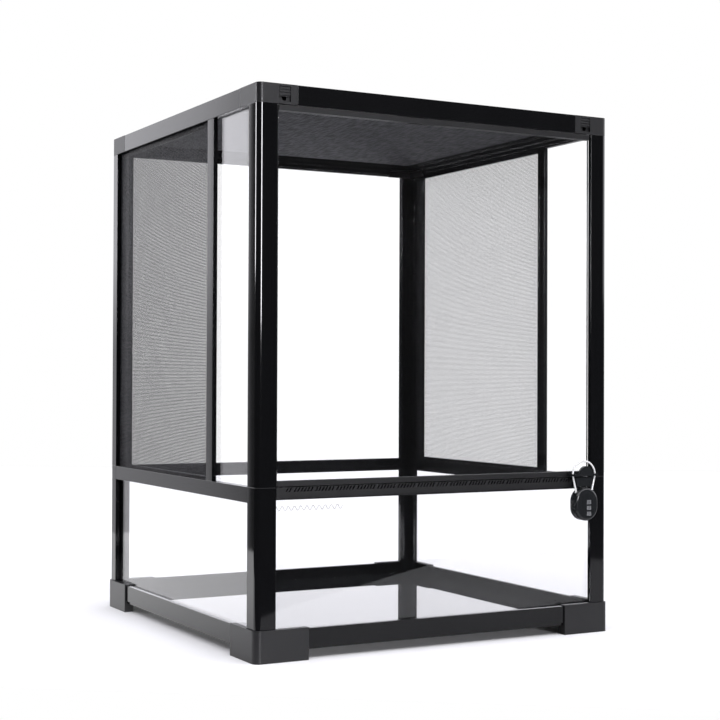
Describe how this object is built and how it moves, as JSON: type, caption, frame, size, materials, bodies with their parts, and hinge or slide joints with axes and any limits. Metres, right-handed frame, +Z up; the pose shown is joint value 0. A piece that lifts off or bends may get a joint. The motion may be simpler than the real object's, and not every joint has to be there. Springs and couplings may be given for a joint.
{
  "type": "reptile terrarium",
  "caption": "Tall glass terrarium with framed panes, screened sides, a hinged glass door, a lift-off screen lid and a cable lock.",
  "frame": {"origin": "on the floor, in the middle of the whole object's box", "axes": "+Z up, the door faces -Y, +X is to the right seen from the front"},
  "size_m": [0.458, 0.4702, 0.606],
  "materials": {
    "frame": "satin",
    "rail": "satin",
    "glass": "gloss",
    "base_glass": "gloss",
    "screen": "matt",
    "steel": "satin",
    "dial": "satin",
    "rubber": "matt"
  },
  "bodies": {
    "cabinet": {"front_base_rail": "rail", "rear_base_rail": "rail", "left_base_rail": "rail", "right_base_rail": "rail", "foot_front_left": "frame", "foot_front_right": "frame", "foot_rear_left": "frame", "foot_rear_right": "frame", "bottom_pane": "base_glass", "lower_post_front_left": "frame", "lower_post_front_right": "frame", "lower_post_rear_left": "frame", "lower_post_rear_right": "frame", "upper_post_front_left": "frame", "upper_post_front_right": "frame", "upper_post_rear_left": "frame", "upper_post_rear_right": "frame", "left_mid_rail": "rail", "right_mid_rail": "rail", "rear_mid_rail": "rail", "vent_bar": "rail", "front_lower_pane": "glass", "rear_lower_pane": "glass", "left_lower_pane": "glass", "right_lower_pane": "glass", "rear_upper_pane": "glass", "left_upper_pane": "glass", "right_upper_pane": "glass", "left_mullion": "rail", "right_mullion": "rail", "left_screen_frame": "frame", "right_screen_frame": "frame", "left_screen": "screen", "right_screen": "screen", "front_top_rail": "rail", "rear_top_rail": "rail", "left_top_rail": "rail", "right_top_rail": "rail", "top_joint_front_left": "frame", "top_joint_front_right": "frame", "top_joint_rear_left": "frame", "top_joint_rear_right": "frame", "lock_keeper": "frame"},
    "lid": {"lid_frame": "rail", "lid_screen": "screen", "lid_spline": "rubber"},
    "door": {"door_pane": "glass", "door_top_strip": "rail", "door_bottom_strip": "rail", "door_lug": "frame"},
    "lock": {"lock_body": "frame", "lock_cable": "steel", "dial_axle": "steel"},
    "dial_1": {"dial_top": "dial"},
    "dial_2": {"dial_middle": "dial"},
    "dial_3": {"dial_bottom": "dial"},
    "latch_fl": {"latch_front_left": "frame"},
    "latch_fr": {"latch_front_right": "frame"},
    "latch_rl": {"latch_rear_left": "frame"},
    "latch_rr": {"latch_rear_right": "frame"}
  },
  "joints": [
    {"name": "lid_lift", "type": "slide", "parent": "cabinet", "child": "lid", "axis": [0, 0, 1], "range_m": [0, 0.04]},
    {"name": "door_hinge", "type": "hinge", "parent": "cabinet", "child": "door", "pos_m": [-0.1958, -0.21385, 0.1833], "axis": [0, 0, -1], "range_deg": [0, 110]},
    {"name": "lock_swing", "type": "hinge", "parent": "door", "child": "lock", "pos_m": [0.1875, -0.22785, 0.1856], "axis": [-1, 0, 0], "range_deg": [0, 15]},
    {"name": "dial_1_turn", "type": "hinge", "parent": "lock", "child": "dial_1", "pos_m": [0.1901, -0.22935, 0.15425], "axis": [0, 0, 1], "continuous": true},
    {"name": "dial_2_turn", "type": "hinge", "parent": "lock", "child": "dial_2", "pos_m": [0.1901, -0.22935, 0.14755], "axis": [0, 0, 1], "continuous": true},
    {"name": "dial_3_turn", "type": "hinge", "parent": "lock", "child": "dial_3", "pos_m": [0.1901, -0.22935, 0.14085], "axis": [0, 0, 1], "continuous": true},
    {"name": "latch_fl_slide", "type": "slide", "parent": "cabinet", "child": "latch_fl", "axis": [0, 0, -1], "range_m": [0, 0.005]},
    {"name": "latch_fr_slide", "type": "slide", "parent": "cabinet", "child": "latch_fr", "axis": [0, 0, -1], "range_m": [0, 0.005]},
    {"name": "latch_rl_slide", "type": "slide", "parent": "cabinet", "child": "latch_rl", "axis": [0, 0, -1], "range_m": [0, 0.005]},
    {"name": "latch_rr_slide", "type": "slide", "parent": "cabinet", "child": "latch_rr", "axis": [0, 0, -1], "range_m": [0, 0.005]}
  ]
}
